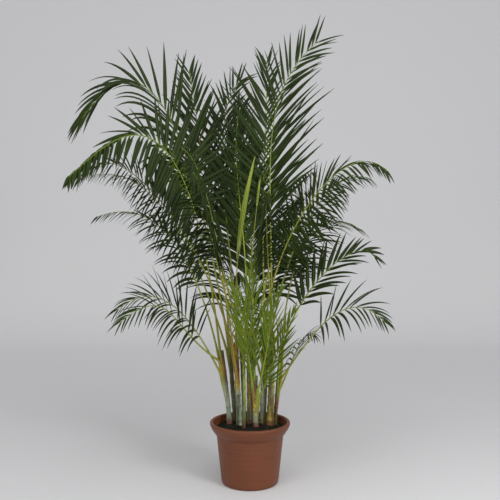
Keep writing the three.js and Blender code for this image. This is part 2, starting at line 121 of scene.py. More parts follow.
# Fronds: each leaves its cane "down" below the top, sets off along "rise", bends towards "shoulder"
# and ends at "tip". "face" is the way that its upper side looks, "bare" the leafless part of its
# length, "leaf" its longest leaflets and "pairs" how many pairs it carries. "droop" bends the
# leaflets down (radians), "knee" is how much of that happens close to the stalk, and "upper" how
# much of it the upper row of a tilted frond shares. "spread" opens them (degrees at the lowest and
# at the last pair), "lift" raises them into a V (degrees), "width" is a leaflet's half width,
# "shorten" how much shorter the leaflets are at the tip and "warm" how orange the stalk is.
FRONDS = {
    "frond_left_1": dict(
        cane="cane_09", down=0, rise=(-100, -30, 560), shoulder=(-340, 30, 1870),
        tip=(-640, -20, 1400), face=(0.3, -0.6, 1), bare=0.42, leaf=330, pairs=24,
        droop=1.5, upper=0.3, width=10, lift=26, spread=(50, 10), shorten=0.45,
        knee=0),
    "frond_left_2": dict(
        cane="cane_01", down=0, rise=(-120, -150, 1160), shoulder=(-510, -160, 1280),
        tip=(-635, -245, 1150), face=(0.2, -0.7, 1), bare=0.46, leaf=220, pairs=40,
        droop=2.6, knee=0.7, upper=0.35, spread=(62, 30), lift=32, width=10,
        shorten=0.6),
    "frond_left_3": dict(
        cane="cane_02", down=50, rise=(-30, -30, 290), shoulder=(-470, -100, 1430),
        tip=(-630, -140, 1150), face=(0.2, -0.8, 1), bare=0.36, leaf=165, pairs=44,
        droop=2.4, knee=0.6, upper=0.4, spread=(58, 28), lift=30, warm=0.5, width=4.5),
    "frond_left_4": dict(
        cane="cane_09", down=60, rise=(-150, 60, 480), shoulder=(-430, 190, 1260),
        tip=(-665, 225, 1205), face=(0.2, -0.5, 1), bare=0.4, leaf=160, pairs=34,
        droop=2.0, knee=0.5, width=4.5, spread=(50, 24)),
    "frond_left_5": dict(
        cane="cane_01", down=50, rise=(-60, 50, 290), shoulder=(-330, 150, 1150),
        tip=(-640, 210, 1030), face=(0.3, -0.4, 1), bare=0.36, leaf=155, pairs=26,
        droop=1.6, knee=0.4, width=7, spread=(46, 20)),
    "frond_left_6": dict(
        cane="cane_01", down=90, rise=(-100, -30, 200), shoulder=(-330, -10, 810),
        tip=(-500, -60, 670), face=(0.2, -0.3, 1), bare=0.3, leaf=210, pairs=18,
        width=5, droop=1.2),
    "frond_left_7": dict(
        cane="cane_01", down=40, rise=(-190, -100, 140), shoulder=(-290, -60, 780),
        tip=(-460, -200, 640), face=(0.1, -0.5, 1), bare=0.3, leaf=200, pairs=16,
        width=5, droop=1.2),
    "frond_top_1": dict(
        cane="cane_12", down=0, rise=(-150, 20, 460), shoulder=(-220, 230, 1510),
        tip=(-260, 260, 1650), face=(0.3, -1, 0.3), bare=0.4, leaf=310, pairs=28,
        droop=0.4, width=8.5, spread=(48, 22)),
    "frond_top_2": dict(
        cane="cane_12", down=50, rise=(-60, 30, 520), shoulder=(-170, 300, 1520),
        tip=(-40, 330, 1630), face=(-0.2, -1, 0.3), bare=0.4, leaf=300, pairs=28,
        droop=0.5, width=8.5, spread=(44, 22)),
    "frond_top_3": dict(
        cane="cane_07", down=0, rise=(10, -30, 660), shoulder=(10, -30, 1470),
        tip=(255, -60, 1680), face=(-0.4, -1, 0.4), bare=0.4, leaf=330, pairs=30,
        droop=0.4, width=7.5, spread=(44, 30)),
    "frond_top_4": dict(
        cane="cane_11", down=0, rise=(-40, 20, 490), shoulder=(80, 240, 1540),
        tip=(70, 260, 1690), face=(-0.1, -1, 0.2), bare=0.4, leaf=290, pairs=28,
        droop=0.5, width=8, spread=(44, 22)),
    "frond_top_5": dict(
        cane="cane_04", down=0, rise=(10, 0, 420), shoulder=(-90, 60, 1260),
        tip=(-40, 60, 1450), face=(0.5, -1, 0.2), bare=0.4, leaf=280, pairs=30,
        droop=0.4, width=8, spread=(40, 20)),
    "frond_right_1": dict(
        cane="cane_06", down=0, rise=(0, -50, 350), shoulder=(350, -80, 1360),
        tip=(505, -120, 1185), face=(-0.3, -0.7, 1), bare=0.4, leaf=185, pairs=36,
        droop=1.8, knee=0.5, upper=0.6, width=6.5, spread=(58, 22), lift=10,
        warm=0.5),
    "frond_right_2": dict(
        cane="cane_11", down=50, rise=(40, 30, 390), shoulder=(310, 180, 1260),
        tip=(500, 200, 1190), face=(-0.3, -0.6, 1), bare=0.38, leaf=180, pairs=34,
        droop=1.5, knee=0.4, width=6, lift=16, spread=(55, 22)),
    "frond_right_3": dict(
        cane="cane_08", down=0, rise=(30, 100, 390), shoulder=(270, 200, 1090),
        tip=(470, 260, 980), face=(-0.2, -0.3, 1), bare=0.4, leaf=200, pairs=24,
        width=5.5, droop=1.2),
    "frond_right_4": dict(
        cane="cane_08", down=60, rise=(-20, -10, 210), shoulder=(390, -10, 980),
        tip=(480, -20, 870), face=(-0.3, -0.5, 1), bare=0.4, leaf=190, pairs=15,
        width=10, droop=0.6, spread=(46, 20)),
    "frond_right_5": dict(
        cane="cane_08", down=110, rise=(90, -60, 140), shoulder=(350, -80, 790),
        tip=(480, -190, 640), face=(-0.2, -0.3, 1), bare=0.48, leaf=200, pairs=13,
        width=6.5, droop=1.2),
    "frond_right_6": dict(
        cane="cane_08", down=160, rise=(40, 60, 50), shoulder=(220, 200, 590),
        tip=(270, 260, 530), face=(-0.3, 0, 1), bare=0.35, leaf=180, pairs=10,
        width=5, droop=2.2, spread=(50, 20)),
    "frond_front_1": dict(
        cane="cane_02", down=100, rise=(-50, -90, 390), shoulder=(-140, -280, 1200),
        tip=(-230, -330, 1240), face=(0.2, 0.2, 1), bare=0.5, leaf=190, pairs=30,
        warm=0.8, spread=(40, 18), width=6, **HANGING_FRONT),
    "frond_front_2": dict(
        cane="cane_04", down=60, rise=(-140, 40, 300), shoulder=(-150, -330, 1130),
        tip=(-185, -400, 1150), face=(0.2, 0.3, 1), bare=0.52, leaf=170, pairs=30,
        spread=(34, 16), width=6, **HANGING_FRONT),
    "frond_front_3": dict(
        cane="cane_07", down=50, rise=(-10, -110, 310), shoulder=(40, -350, 1090),
        tip=(60, -430, 1085), face=(-0.2, 0.3, 1), bare=0.5, leaf=150, pairs=30,
        warm=0.6, spread=(26, 12), width=5, **HANGING_FRONT),
    "frond_back_1": dict(
        cane="cane_11", down=90, rise=(50, 120, 350), shoulder=(70, 360, 1250),
        tip=(300, 430, 1240), face=(-0.2, -0.3, 1), bare=0.28, leaf=230, pairs=40,
        shorten=0.85, **HANGING_BACK),
    "frond_back_2": dict(
        cane="cane_10", down=0, rise=(0, 100, 440), shoulder=(-20, 460, 1270),
        tip=(-10, 480, 1350), face=(0, -1, 0.5), bare=0.26, leaf=270, pairs=48,
        width=10, spread=(48, 24), droop=1.0),
    "frond_back_3": dict(
        cane="cane_09", down=110, rise=(-20, 120, 360), shoulder=(-170, 450, 1140),
        tip=(-215, 480, 1160), face=(0.3, -0.4, 1), bare=0.28, leaf=210, pairs=40,
        **HANGING_BACK),
    "frond_back_4": dict(
        cane="cane_10", down=50, rise=(60, 100, 370), shoulder=(150, 330, 1160),
        tip=(280, 360, 1150), face=(-0.3, -0.4, 1), bare=0.28, leaf=230, pairs=40,
        shorten=0.85, **HANGING_BACK),
    "frond_back_5": dict(
        cane="cane_10", down=100, rise=(10, 160, 90), shoulder=(-40, 460, 910),
        tip=(-70, 520, 750), face=(0, -0.2, 1), bare=0.25, leaf=200, pairs=32,
        **HANGING_BACK),
}
FROND_DEFAULTS = dict(droop=1.1, knee=0.2, upper=0.7, spread=(60, 24), width=7.5, warm=0.3, lift=28,
                      shorten=0.55)

YOUNG_LEAVES = {
    "young_leaf_1": dict(
        cane="cane_05", down=0, rise=(0, -10, 100), shoulder=(0, -50, 740),
        tip=(10, -60, 830), face=(0.2, -1, 0.3), leaf=220),
    "young_leaf_2": dict(
        cane="cane_05", down=30, rise=(-10, -10, 100), shoulder=(-40, -70, 700),
        tip=(-70, -90, 760), face=(0.5, -1, 0.4), leaf=200),
    "young_leaf_3": dict(
        cane="cane_05", down=50, rise=(30, -30, 80), shoulder=(80, -90, 690),
        tip=(110, -110, 740), face=(-0.5, -1, 0.4), leaf=190),
    "young_leaf_4": dict(
        cane="cane_05", down=80, rise=(40, -10, 60), shoulder=(130, -80, 600),
        tip=(160, -110, 660), face=(-0.6, -1, 0.5), leaf=170),
}
YOUNG_DEFAULTS = dict(bare=0.1, pairs=16, droop=0.2, knee=0, upper=1, spread=(30, 10), width=5, warm=0,
                      lift=24, shorten=0.55)

# Spears: folded leaves that stand up before they open. "bare" counts leafless steps of the stalk and
# "thick" is how wide the folded blade stands.
SPEARS = {
    "spear_leaf_1": dict(
        cane="cane_02", down=0, rise=(-10, -20, 260), shoulder=(-40, -70, 1030),
        tip=(20, -120, 1240), thick=15, bare=20),
    "spear_leaf_2": dict(
        cane="cane_03", down=0, rise=(20, 0, 320), shoulder=(30, -30, 1110),
        tip=(40, -30, 1180), thick=7, bare=36),
}

PETIOLE_RADIUS = 4.6
RACHIS_TIP_RADIUS = 0.9
HUG_OFFSET = 6.5
LEAFLET_STEPS = 10
LEAFLET_THICKNESS = 0.5
LOWEST_LEAFLET = 0.72  # of the longest leaflet's length
LOWER_ROW_LIFT = 0.4  # of the upper row's lift
BLADE_END = 0.992  # how far along the stalk the last pair stands
STAGGER = 0.35  # of the gap between two pairs, how far a leaflet strays from its place
CURVE_SAMPLES = 400
STALK_SIDES = 8
STALK_STEPS = 44
STALK_CELL = (0.002, 0.002, 0.998, 0.085)  # the stalk's strip of the bake layout
SPEAR_BLADES = 9
SPEAR_STARTS = 30  # blades start 1/30 of the spear's leafy part apart
SPEAR_CORE_STEPS = 10  # how far the stalk runs on inside the blades
SPEAR_BLADE_STEPS = 14
SHEATH_LENGTH = 110  # how far a frond's base runs down its cane
SHEATH_RINGS = 8
CANE_SIDES = 14
CANE_RINGS = 90
CANE_BURIED = 12  # how far a cane goes down into the soil
CANE_BOW = 3
FIRST_SCAR = 18  # above the soil
SCAR_GAPS = (38, 62)
SCARRED_PART = 0.8  # of a cane's height
POT_SEGMENTS = 128
WALL_RINGS = 24
FLARE_RINGS = 14
SOIL_SEGMENTS = 96
SOIL_RINGS = 34
SOIL_LUMPS = ((0.03, 4), (0.11, 2.2), (0.3, 1.4))  # (how fine, how high)
CHIPS = 420
CHIP_MARGIN = 10  # from the pot's inner wall

# Colours are linear light.
PALETTE = {
    "wax": (0.33, 0.39, 0.28),
    # dark moss green; on the back canes it is painted shade
    "moss_and_shade": (0.07, 0.11, 0.022),
    "lime": (0.22, 0.30, 0.02),
    "gold": (0.50, 0.43, 0.05),
    "orange": (0.50, 0.25, 0.025),
    "rust": (0.17, 0.035, 0.018),
    "rachis": (0.15, 0.24, 0.018),
}


# ---------------------------------------------------------------- curves and frames

def mm(values):
    """A point or direction given in millimetres, in metres."""
    return Vector(values) * MM


def bezier(points, t):
    a, b, c, d = points
    s = 1 - t
    return a * s ** 3 + b * 3 * s * s * t + c * 3 * s * t * t + d * t ** 3


def even_points(points, count):
    """count + 1 points evenly spaced along a Bezier curve."""
    fine = [bezier(points, i / CURVE_SAMPLES) for i in range(CURVE_SAMPLES + 1)]
    reach = np.concatenate([[0], np.cumsum([(b - a).length for a, b in zip(fine, fine[1:])])])
    wanted = np.linspace(0, reach[-1], count + 1)
    columns = [np.interp(wanted, reach, [p[axis] for p in fine]) for axis in range(3)]
    return [Vector(p) for p in zip(*columns)]


def tangents(path):
    ends = zip([path[0]] + path[:-1], path[1:] + [path[-1]])
    return [(b - a).normalized() for a, b in ends]


def square_to(vector, axis):
    return (vector - axis * vector.dot(axis)).normalized()


# ---------------------------------------------------------------- building meshes

class Shape:
    """Gathers one piece's corners and faces, with the values that its materials read."""

    def __init__(self):
        self.points = []
        self.faces = []
        self.slots = []
        self.corners = []  # one (u, v) of the bake layout for each corner of each face
        self.values = []  # along, across, tint and speckle for each point
        self.colours = []
        self.creases = []  # (first point, last point, gap): lengthwise lines to keep sharp

    def add_point(self, place, along=0.0, across=0.0, tint=0.0, speckle=0.0, colour=(1, 1, 1)):
        self.points.append(place)
        self.values.append((along, across, tint, speckle))
        self.colours.append((*colour, 1))

    def add_face(self, indices, corners, slot):
        self.faces.append(indices)
        self.corners.extend(corners)
        self.slots.append(slot)

    def add_tube(self, rings, cell, slot, first):
        """Faces between rings of points that start at index first, closed at both ends."""
        u0, v0, u1, v1 = cell
        sides = rings[0]
        count = rings[1]
        for ring in range(count - 1):
            for side in range(sides):
                nxt = (side + 1) % sides
                a = first + ring * sides
                b = a + sides
                left, right = side / sides, (side + 1) / sides
                low, high = ring / (count - 1), (ring + 1) / (count - 1)
                corners = [(u0 + (u1 - u0) * u, v0 + (v1 - v0) * v)
                           for u, v in ((left, low), (right, low), (right, high), (left, high))]
                self.add_face((a + side, a + nxt, b + nxt, b + side), corners, slot)
        end = first + (count - 1) * sides
        self.add_face(tuple(range(first + sides - 1, first - 1, -1)), [(u0, v0)] * sides, slot)
        self.add_face(tuple(range(end, end + sides)), [(u1, v1)] * sides, slot)

    def build(self, name, materials):
        mesh = bpy.data.meshes.new(name)
        mesh.from_pydata(self.points, [], self.faces)
        for material in materials:
            mesh.materials.append(material)
        mesh.polygons.foreach_set("material_index", self.slots)
        layer = mesh.uv_layers.new(name="OFBake")
        layer.data.foreach_set("uv", np.array(self.corners, np.float32).ravel())
        values = np.array(self.values, np.float32)
        for column, label in enumerate(("along", "across", "tint", "speckle")):
            attribute = mesh.attributes.new(label, "FLOAT", "POINT")
            attribute.data.foreach_set("value", values[:, column].copy())
        zone = mesh.attributes.new("zone", "FLOAT_COLOR", "POINT")
        zone.data.foreach_set("color", np.array(self.colours, np.float32).ravel())
        mesh.polygons.foreach_set("use_smooth", [True] * len(mesh.polygons))
        self.sharpen(mesh)
        mesh.update()
        piece = bpy.data.objects.new(name, mesh)
        bpy.context.scene.collection.objects.link(piece)
        return piece

    def sharpen(self, mesh):
        edges = np.zeros(len(mesh.edges) * 2, np.int32)
        mesh.edges.foreach_get("vertices", edges)
        edges = np.sort(edges.reshape(-1, 2), axis=1)
        sharp = np.zeros(len(edges), bool)
        for first, last, gap in self.creases:
            sharp |= (edges[:, 0] >= first) & (edges[:, 1] < last) & (edges[:, 1] - edges[:, 0] == gap)
        mesh.attributes.new("sharp_edge", "BOOLEAN", "EDGE").data.foreach_set("value", sharp)


# ---------------------------------------------------------------- material nodes

class Nodes:
    """A short way to write a node material."""

    def __init__(self, name):
        self.material = bpy.data.materials.new(name)
        self.material.use_nodes = True
        self.tree = self.material.node_tree
        self.tree.nodes.clear()

    def add(self, kind, **settings):
        node = self.tree.nodes.new(kind)
        for key, value in settings.items():
            setattr(node, key, value)
        return node

    def link(self, source, target):
        self.tree.links.new(source, target)

    def put(self, value, socket):
        """Set a socket to a number or colour, or link it to another node's output."""
        if isinstance(value, bpy.types.NodeSocket):
            self.link(value, socket)
        else:
            socket.default_value = value

    def attribute(self, name, output="Fac"):
        return self.add("ShaderNodeAttribute", attribute_name=name).outputs[output]

    def noise(self, scale, detail=3.0, roughness=0.55, vector=None):
        node = self.add("ShaderNodeTexNoise")
        node.inputs["Scale"].default_value = scale
        node.inputs["Detail"].default_value = detail
        node.inputs["Roughness"].default_value = roughness
        if vector:
            self.link(vector, node.inputs["Vector"])
        return node.outputs["Fac"]

    def place(self, scale=(1, 1, 1)):
        """The piece's own coordinates, stretched."""
        mapping = self.add("ShaderNodeMapping")
        mapping.inputs["Scale"].default_value = scale
        self.link(self.add("ShaderNodeTexCoord").outputs["Object"], mapping.inputs["Vector"])
        return mapping.outputs["Vector"]

    def ramp(self, value, low, high, start=0.0, end=1.0):
        """value between low and high, as a number from start to end."""
        node = self.add("ShaderNodeMapRange")
        self.put(value, node.inputs["Value"])
        for label, number in (("From Min", low), ("From Max", high), ("To Min", start), ("To Max", end)):
            node.inputs[label].default_value = number
        return node.outputs["Result"]

    def math(self, operation, a, b=0.0):
        node = self.add("ShaderNodeMath", operation=operation)
        self.put(a, node.inputs[0])
        self.put(b, node.inputs[1])
        return node.outputs[0]

    def mix(self, share, a, b, blend="MIX"):
        node = self.add("ShaderNodeMix", data_type="RGBA", blend_type=blend)
        self.put(share, node.inputs[0])
        for socket, value in ((node.inputs[6], a), (node.inputs[7], b)):
            self.put((*value, 1) if isinstance(value, tuple) else value, socket)
        return node.outputs[2]

    def bump(self, height, distance, strength=1.0, normal=None):
        node = self.add("ShaderNodeBump")
        node.inputs["Strength"].default_value = strength
        node.inputs["Distance"].default_value = distance
        self.link(height, node.inputs["Height"])
        if normal:
            self.link(normal, node.inputs["Normal"])
        return node.outputs["Normal"]

    def surface(self, colour, roughness, normal=None, specular=0.5):
        shader = self.add("ShaderNodeBsdfPrincipled")
        self.put(colour, shader.inputs["Base Color"])
        self.put(roughness, shader.inputs["Roughness"])
        shader.inputs["Specular IOR Level"].default_value = specular
        if normal:
            self.link(normal, shader.inputs["Normal"])
        return shader.outputs["BSDF"]

    def finish(self, shader):
        self.link(shader, self.add("ShaderNodeOutputMaterial").inputs["Surface"])
        return self.material


def leaflet_material(name, dark, mid, pale, shine, glow):
    """Leaf blade: veined, paler along the midrib, yellow at its base and dry at some tips."""
    n = Nodes(name)
    along = n.attribute("along")
    across = n.math("ABSOLUTE", n.attribute("across"))
    tint = n.attribute("tint")
    patchy = n.noise(9.0, vector=n.place())
    colour = n.mix(tint, dark, mid)
    colour = n.mix(n.ramp(patchy, 0.4, 0.75), colour, mid)
    lines = n.add("ShaderNodeTexWave", wave_type="BANDS", bands_direction="X")
    lines.inputs["Scale"].default_value = 2.2
    lines.inputs["Distortion"].default_value = 0.0
    veins = n.add("ShaderNodeCombineXYZ")
    n.link(across, veins.inputs["X"])
    n.link(veins.outputs["Vector"], lines.inputs["Vector"])
    colour = n.mix(n.math("MULTIPLY", lines.outputs["Fac"], 0.16), colour, pale)
    colour = n.mix(n.ramp(across, 0.13, 0.03, 0.0, 0.55), colour, pale)
    colour = n.mix(n.ramp(along, 0.16, 0.0, 0.0, 0.85), colour, pale)
    dry = n.math("MULTIPLY", n.ramp(along, 0.93, 0.99), n.ramp(tint, 0.55, 0.75))
    colour = n.mix(dry, colour, (0.22, 0.13, 0.05))
    ribs = n.math("MULTIPLY", lines.outputs["Fac"], 0.6)
    height = n.math("ADD", ribs, n.noise(120.0, vector=n.place()))
    normal = n.bump(height, 0.0006, 0.5)
    roughness = n.ramp(n.noise(30.0, vector=n.place()), 0.3, 0.7, shine, shine + 0.14)
    blade = n.surface(colour, roughness, normal, 0.25)
    light = n.add("ShaderNodeBsdfTranslucent")
    n.link(n.mix(0.5, colour, pale), light.inputs["Color"])
    n.link(normal, light.inputs["Normal"])
    both = n.add("ShaderNodeMixShader")
    both.inputs[0].default_value = glow
    n.link(blade, both.inputs[1])
    n.link(light.outputs["BSDF"], both.inputs[2])
    return n.finish(both.outputs[0])


def stalk_material():
    """Petiole and rachis: the zone colour, with speckles where it is warm."""
    n = Nodes("stalk")
    zone = n.attribute("zone", "Color")
    speckle = n.attribute("speckle")
    streak = n.noise(60.0, vector=n.place((1, 1, 0.12)))
    colour = n.mix(n.ramp(streak, 0.35, 0.7, 0.0, 0.35), zone, (0.06, 0.10, 0.02))
    dots = n.noise(420.0, 2.0, vector=n.place((1, 1, 0.45)))
    colour = n.mix(n.math("MULTIPLY", n.ramp(dots, 0.52, 0.6), speckle), colour, (0.09, 0.018, 0.012))
    normal = n.bump(n.noise(140.0, vector=n.place((1, 1, 0.15))), 0.0008, 0.5)
    return n.finish(n.surface(colour, n.ramp(streak, 0.3, 0.7, 0.34, 0.5), normal, 0.5))


def cane_material():
    """Cane: waxy bloom in streaks, ring scars and rusty speckles over the zone colour."""
    n = Nodes("cane")
    zone = n.attribute("zone", "Color")
    speckle = n.attribute("speckle")
    scar = n.attribute("tint")
    streak = n.noise(55.0, 4.0, vector=n.place((1, 1, 0.1)))
    colour = n.mix(n.ramp(streak, 0.42, 0.6, 0.0, 0.85), zone, (0.025, 0.045, 0.012))
    bloom = n.noise(24.0, 4.0, vector=n.place((1, 1, 0.3)))
    colour = n.mix(n.ramp(bloom, 0.52, 0.75, 0.0, 0.45), colour, PALETTE["wax"])
    dots = n.noise(220.0, 3.0, vector=n.place((1, 1, 0.5)))
    colour = n.mix(n.math("MULTIPLY", n.ramp(dots, 0.45, 0.52), speckle), colour, (0.13, 0.02, 0.012))
    colour = n.mix(n.math("MULTIPLY", scar, 0.75), colour, (0.13, 0.09, 0.05))
    fine = n.noise(200.0, 4.0, vector=n.place((1, 1, 0.2)))
    normal = n.bump(fine, 0.0012, 0.6)
    return n.finish(n.surface(colour, n.ramp(bloom, 0.3, 0.7, 0.42, 0.68), normal, 0.4))


def pot_material():
    """Moulded plastic, terracotta coloured, with a fine grain and scuffs."""
    n = Nodes("pot_plastic")
    cloud = n.noise(7.0, 5.0, vector=n.place())
    colour = n.mix(n.ramp(cloud, 0.3, 0.7), (0.125, 0.035, 0.011), (0.160, 0.046, 0.016))
    rings = n.noise(30.0, 3.0, vector=n.place((0.05, 0.05, 6)))
    colour = n.mix(n.ramp(rings, 0.45, 0.7, 0.0, 0.18), colour, (0.28, 0.10, 0.06))
    scuff = n.noise(90.0, 5.0, 0.7, vector=n.place((1, 1, 0.5)))
    colour = n.mix(n.ramp(scuff, 0.62, 0.8, 0.0, 0.35), colour, (0.30, 0.14, 0.09))
    grain = n.noise(900.0, 2.0, vector=n.place())
    normal = n.bump(grain, 0.0003, 0.35)
    normal = n.bump(rings, 0.0006, 0.25, normal)
    return n.finish(n.surface(colour, n.ramp(scuff, 0.3, 0.8, 0.4, 0.6), normal, 0.35))


def soil_material():
    """Damp dark potting mix with a few pale crumbs."""
    n = Nodes("soil")
    lump = n.noise(140.0, 6.0, 0.7, vector=n.place())
    colour = n.mix(n.ramp(lump, 0.35, 0.7), (0.002, 0.0025, 0.001), (0.012, 0.012, 0.005))
    crumbs = n.noise(260.0, 1.0, vector=n.place())
    colour = n.mix(n.ramp(crumbs, 0.68, 0.74, 0.0, 0.6), colour, (0.06, 0.06, 0.03))
    normal = n.bump(lump, 0.004, 0.9)
    return n.finish(n.surface(colour, 0.9, normal, 0.25))


def chip_material():
    """Bark chips and crumbs on the soil, each its own brown."""
    n = Nodes("bark")
    grain = n.noise(200.0, 4.0, vector=n.place((1, 1, 3)))
    colour = n.mix(n.attribute("tint"), (0.006, 0.005, 0.002), (0.032, 0.026, 0.011))
    colour = n.mix(n.ramp(grain, 0.4, 0.7, 0.0, 0.5), colour, (0.012, 0.008, 0.005))
    return n.finish(n.surface(colour, 0.85, n.bump(grain, 0.001, 0.7), 0.25))


LEAF = leaflet_material("leaf", (0.002, 0.006, 0.0005), (0.011, 0.027, 0.0015),
                        (0.10, 0.17, 0.008), 0.46, 0.14)
YOUNG = leaflet_material("young_leaf", (0.06, 0.12, 0.006), (0.15, 0.23, 0.012),
                         (0.30, 0.35, 0.04), 0.44, 0.3)
FOLDED = leaflet_material("folded_leaf", (0.20, 0.30, 0.02), (0.36, 0.44, 0.06),
                          (0.55, 0.56, 0.22), 0.42, 0.15)
STALK = stalk_material()
CANE = cane_material()
POT = pot_material()
SOIL = soil_material()
BARK = chip_material()


# ---------------------------------------------------------------- fronds

def cane_axis(plan, fraction):
    """The point at a fraction of the way up a cane, from the soil to its top."""
    foot = mm((*plan["foot"], SOIL_LEVEL))
    return foot.lerp(mm(plan["top"]), fraction)


def cane_radius(plan, fraction):
    low, high = plan["radii"]
    return (low + (high - low) * fraction) * MM


def frond_spine(plan):
    """The frond's middle line, and the line of the sheath below it that sinks into the cane."""
    cane = CANES[plan["cane"]]
    top = mm(cane["top"])
    shoulder = mm(plan["shoulder"])
    outward = shoulder - top
    outward.z = 0
    outward.normalize()
    lean = (top - cane_axis(cane, 0)).normalized()
    if plan["down"]:
        fraction = 1 - plan["down"] * MM / (top - cane_axis(cane, 0)).length
        reach = cane_radius(cane, fraction) + (PETIOLE_RADIUS + 1) * MM
        start = cane_axis(cane, fraction) + outward * reach
    else:
        reach = HUG_OFFSET * MM
        start = top + outward * reach
    curve = (start, start + mm(plan["rise"]), shoulder, mm(plan["tip"]))
    free = even_points(curve, STALK_STEPS)
    below = start - lean * SHEATH_LENGTH * MM - outward * reach
    sheath = [below.lerp(start, i / SHEATH_RINGS) for i in range(SHEATH_RINGS)]
    return free, sheath


def stalk_colour(along, warm):
    """A stalk is warm at its foot, yellow-green higher and green in the blade."""
    foot = Vector(PALETTE["lime"]).lerp(Vector(PALETTE["orange"]), warm)
    middle = Vector(PALETTE["lime"]).lerp(Vector(PALETTE["orange"]), warm * 0.6)
    end = Vector(PALETTE["rachis"])
    if along < 0.3:
        return foot.lerp(middle, along / 0.3)
    return middle.lerp(end, (along - 0.3) / 0.7)


def add_stalk(shape, plan, path, sheath, face, painted_shade, cell):
    """Petiole and rachis as one tapering stem, flat above, whose base grows out of the cane's skin."""
    cane = CANES[plan["cane"]]
    height = (mm(cane["top"]) - cane_axis(cane, 0)).length
    top_level = 1 - plan["down"] * MM / height
    line = sheath + path
    heads = tangents(line)
    first = len(shape.points)
    for index, (place, head) in enumerate(zip(line, heads)):
        along = max(0, index - len(sheath)) / (len(path) - 1)
        low = min(1, index / len(sheath))
        level = top_level - (1 - low) * SHEATH_LENGTH * MM / height
        skin = cane_radius(cane, level) / MM
        radius = PETIOLE_RADIUS + (RACHIS_TIP_RADIUS - PETIOLE_RADIUS) * along ** 0.8
        radius += 1.4 * math.exp(-along * 22)
        radius += (skin - 1 - radius) * (1 - low) ** 0.7
        bark, dots = zone_at(cane["zones"], level)
        # painted shade: the stalk's colour is scaled by a brightness picked for each frond, darker or
        # lighter copies of one colour standing in for shade and light
        colour = (bark * (1 - low) + stalk_colour(along, plan["warm"]) * low) * painted_shade
        speckle = dots * (1 - low) + plan["warm"] * low * max(0, 1 - along * 4)
        side = head.cross(face).normalized()
        up = side.cross(head)
        for turn in range(STALK_SIDES):
            angle = -2 * math.pi * turn / STALK_SIDES
            flat = 0.8 if math.sin(angle) > 0.3 else 1.0
            offset = side * math.cos(angle) + up * math.sin(angle) * flat
            shape.add_point(place + offset * radius * MM, along, 0, plan["warm"], speckle, colour)
    shape.add_tube((STALK_SIDES, len(line)), cell, 1, first)


def bending(plan, s):
    """How strongly a leaflet bends at a fraction s of its length: 1 on average."""
    gentle = 0.35 + 1.3 * s
    sharp = 4.5 * max(0, 1 - 3 * s)
    return gentle + (sharp - gentle) * plan["knee"]


def add_leaflet(shape, plan, root, head, aim, up, length, width, droop, tint, cell, dice):
    """One leaflet: a ridged blade that narrows to a point and arches down under its weight."""
    step = length / LEAFLET_STEPS
    side = square_to(head, aim)
    if side.cross(aim).dot(up) < 0:
        side = -side
    side = Matrix.Rotation(dice.gauss(0, 0.22), 3, aim) @ side
    place = root.copy()
    heading = aim.copy()
    sway = Vector((dice.uniform(-1, 1), dice.uniform(-1, 1), 0)) * 0.07
    first = len(shape.points)
    fold = dice.uniform(0.22, 0.45)
    for ring in range(LEAFLET_STEPS + 1):
        s = ring / LEAFLET_STEPS
        half = width * min(1, 0.3 + 3.2 * s) * max(0.03, 1 - s ** 2.4) ** 0.85
        thick = LEAFLET_THICKNESS * MM * (1.6 - 1.2 * s)
        normal = side.cross(heading)
        drop = normal * fold * half
        shape.add_point(place - side * half - drop, s, -1, tint)
        shape.add_point(place + normal * thick / 2, s, 0, tint)
        shape.add_point(place + side * half - drop, s, 1, tint)
        shape.add_point(place - normal * thick / 2, s, 0, tint)
        level = heading.x ** 2 + heading.y ** 2
        pull = droop * bending(plan, s) * (0.25 + 0.75 * level) / LEAFLET_STEPS
        heading = (heading + DOWN * pull + sway / LEAFLET_STEPS).normalized()
        side = square_to(side, heading)
        place = place + heading * step
    shape.add_tube((4, LEAFLET_STEPS + 1), cell, 0, first)
    shape.creases.append((first, len(shape.points), 4))


def leaflet_length(plan, up_blade):
    """Leaflets are longest a third of the way up the blade and short at its tip."""
    swell = math.sin(math.pi * min(1, up_blade * 1.5))
    fullness = LOWEST_LEAFLET + (1 - LOWEST_LEAFLET) * swell
    return plan["leaf"] * MM * fullness * (1 - plan["shorten"] * up_blade ** 2)


def bake_cells(count):
    """A grid of tall cells in the top of the bake layout, one for each leaflet."""
    rows = max(1, round(math.sqrt(count / 6)))
    columns = math.ceil(count / rows)
    floor, margin = 0.09, 0.002
    for index in range(count):
        row, column = divmod(index, columns)
        low = floor + (1 - floor) * row / rows
        high = floor + (1 - floor) * (row + 1) / rows
        yield (column / columns + margin, low + margin, (column + 1) / columns - margin, high - margin)


